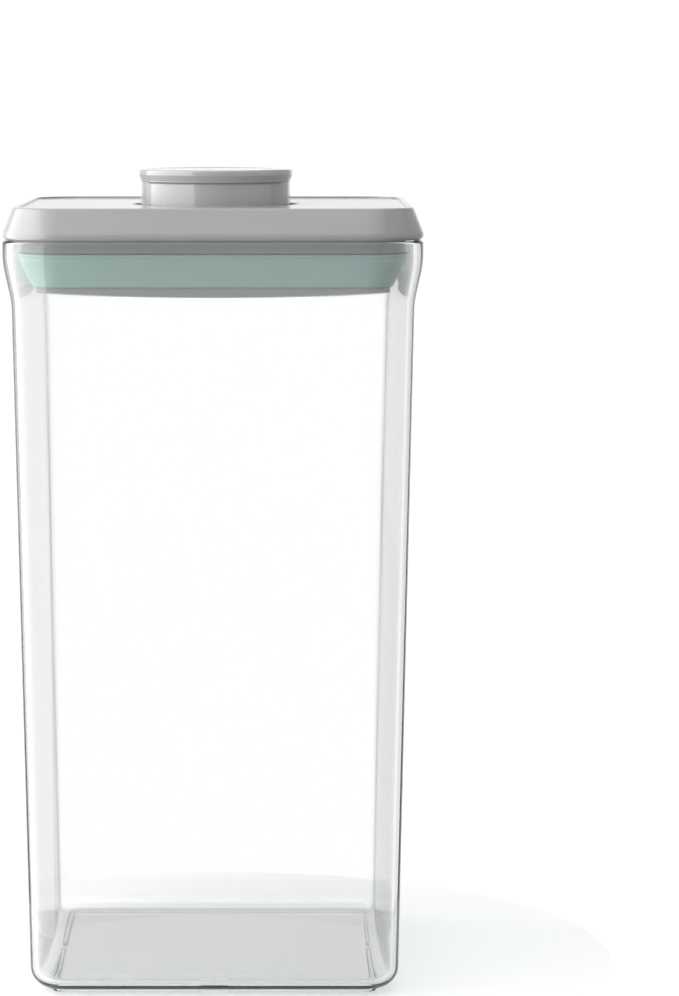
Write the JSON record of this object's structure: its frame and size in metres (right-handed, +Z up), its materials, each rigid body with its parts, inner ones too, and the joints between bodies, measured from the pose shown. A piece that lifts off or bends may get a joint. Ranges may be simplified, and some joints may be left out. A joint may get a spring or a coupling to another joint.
{
  "type": "food canister",
  "caption": "Tall square clear food canister with a grey press-button lid whose mint silicone seal is squeezed outward to close.",
  "frame": {"origin": "middle of the foot, on the surface it stands on", "axes": "+Z up, the front faces -Y, +X is the canister's right seen from the front"},
  "size_m": [0.131, 0.131, 0.2588],
  "materials": {
    "jar_clear": "clear, polished",
    "lid_grey": "light grey, satin",
    "button_grey": "light grey, satin",
    "frame_grey": "mid grey, fine matt",
    "seal_mint": "mint green silicone, soft satin",
    "inner_plastic": "natural white, low friction",
    "steel": "stainless, drawn or turned"
  },
  "bodies": {
    "jar": {"container_body": "jar_clear"},
    "lid": {"lid_shell": "lid_grey", "lid_frame": "frame_grey", "seal_ring": "seal_mint", "latch_guide": "inner_plastic", "return_spring": "steel", "lever_pins": "steel", "frame_screws": "steel"},
    "button": {"button_cap": "button_grey", "button_sleeve": "button_grey", "button_pusher": "inner_plastic", "pusher_screws": "steel", "rotor_washer": "steel"},
    "plate": {"seal_plate": "frame_grey", "plate_cover": "frame_grey", "plate_screws": "steel"},
    "rotor": {"latch_rotor": "inner_plastic"},
    "rocker_right": {"lever_right": "inner_plastic"},
    "rocker_back": {"lever_back": "inner_plastic"},
    "rocker_left": {"lever_left": "inner_plastic"},
    "rocker_front": {"lever_front": "inner_plastic"}
  },
  "joints": [
    {"name": "lid_lift", "type": "slide", "parent": "jar", "child": "lid", "axis": [0, 0, 1], "range_m": [0, 0.12]},
    {"name": "button_press", "type": "slide", "parent": "lid", "child": "button", "axis": [0, 0, -1], "range_m": [0, 0.011], "stiffness_N_per_m": 350, "springref_m": -0.012, "deforming": ["return_spring"]},
    {"name": "plate_lift", "type": "slide", "parent": "lid", "child": "plate", "axis": [0, 0, 1], "range_m": [0, 0.0022], "deforming": ["seal_ring"]},
    {"name": "rotor_turn", "type": "hinge", "parent": "button", "child": "rotor", "pos_m": [0, 0, 0.2472], "axis": [0, 0, 1], "range_deg": [0, 45]},
    {"name": "right_lever_turn", "type": "hinge", "parent": "lid", "child": "rocker_right", "pos_m": [0.041, 0, 0.2327], "axis": [0, -1, 0], "range_deg": [0, 25.4]},
    {"name": "back_lever_turn", "type": "hinge", "parent": "lid", "child": "rocker_back", "pos_m": [0, 0.041, 0.2327], "axis": [1, 0, 0], "range_deg": [0, 25.4]},
    {"name": "left_lever_turn", "type": "hinge", "parent": "lid", "child": "rocker_left", "pos_m": [-0.041, 0, 0.2327], "axis": [0, 1, 0], "range_deg": [0, 25.4]},
    {"name": "front_lever_turn", "type": "hinge", "parent": "lid", "child": "rocker_front", "pos_m": [0, -0.041, 0.2327], "axis": [-1, 0, 0], "range_deg": [0, 25.4]}
  ],
  "couplings": [
    {"joint": "plate_lift", "follows": "button_press", "ratio": 0.2},
    {"joint": "rotor_turn", "follows": "button_press", "rad_per_m": 71.39},
    {"joint": "right_lever_turn", "follows": "button_press", "rad_per_m": 40.3},
    {"joint": "back_lever_turn", "follows": "button_press", "rad_per_m": 40.3},
    {"joint": "left_lever_turn", "follows": "button_press", "rad_per_m": 40.3},
    {"joint": "front_lever_turn", "follows": "button_press", "rad_per_m": 40.3}
  ]
}
